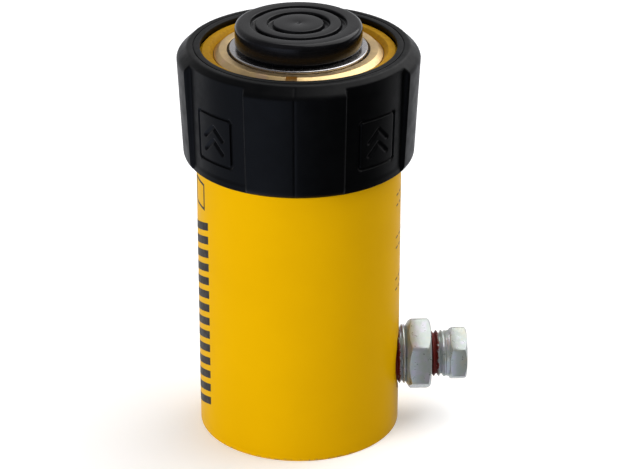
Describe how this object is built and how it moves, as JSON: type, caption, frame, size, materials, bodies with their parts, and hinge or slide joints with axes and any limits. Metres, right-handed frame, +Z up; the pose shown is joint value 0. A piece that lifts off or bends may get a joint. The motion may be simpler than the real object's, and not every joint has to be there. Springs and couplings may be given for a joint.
{
  "type": "hydraulic cylinder",
  "caption": "Short single-acting hydraulic cylinder with a spring-return plunger, grooved saddle, padded collar thread protector, and a plugged oil port at the side of its base.",
  "frame": {"origin": "the middle of the flat underside of the base, on the cylinder's axis", "axes": "+Z up along the axis, the way the plunger extends; +X out of the oil port; +Y completes a right-handed frame, and the two base holes lie along it"},
  "size_m": [0.0818, 0.067, 0.121],
  "materials": {
    "yellow_paint": "semi-gloss baked enamel",
    "black_plastic": "satin moulded",
    "black_oxide": "black oxide, oiled",
    "gold_chromate": "yellow chromate over turned steel",
    "ground_steel": "ground, lightly oiled",
    "turned_steel": "turned, oiled",
    "spring_steel": "oil tempered wire",
    "zinc_plate": "clear zinc plate",
    "copper": "soft annealed",
    "black_rubber": "nitrile rubber",
    "wiper_rubber": "polyurethane",
    "blue_urethane": "moulded polyurethane",
    "brown_phenolic": "cloth filled phenolic",
    "bronze_ptfe": "bronze filled PTFE",
    "white_ptfe": "PTFE"
  },
  "bodies": {
    "cylinder": {"cylinder_body": "yellow_paint", "stop_ring": "gold_chromate", "rod_wiper": "wiper_rubber", "rod_bearing": "bronze_ptfe", "spring_anchor": "turned_steel", "anchor_screw": "black_oxide", "seal_washer": "copper", "lower_spring_pin": "ground_steel", "return_spring": "spring_steel", "port_bushing": "zinc_plate"},
    "plunger_group": {"plunger": "ground_steel", "piston_bearing": "brown_phenolic", "piston_seal": "blue_urethane", "backup_ring": "white_ptfe", "spring_plug": "turned_steel", "spring_plug_seal": "black_rubber", "upper_spring_pin": "ground_steel"},
    "saddle_group": {"saddle": "black_oxide", "saddle_snap_ring": "spring_steel"},
    "protector_group": {"thread_protector": "black_plastic"},
    "plug_group": {"port_plug": "zinc_plate"}
  },
  "joints": [
    {"name": "plunger_extend", "type": "slide", "parent": "cylinder", "child": "plunger_group", "axis": [0, 0, 1], "range_m": [0, 0.054], "stiffness_N_per_m": 1500, "springref_m": -0.06, "deforming": ["return_spring"]},
    {"name": "saddle_pull", "type": "slide", "parent": "plunger_group", "child": "saddle_group", "axis": [0, 0, 1], "range_m": [0, 0.016]},
    {"name": "protector_off", "type": "slide", "parent": "cylinder", "child": "protector_group", "axis": [0, 0, 1], "range_m": [0, 0.045]},
    {"name": "plug_out", "type": "slide", "parent": "cylinder", "child": "plug_group", "axis": [1, 0, 0], "range_m": [0, 0.012]}
  ]
}
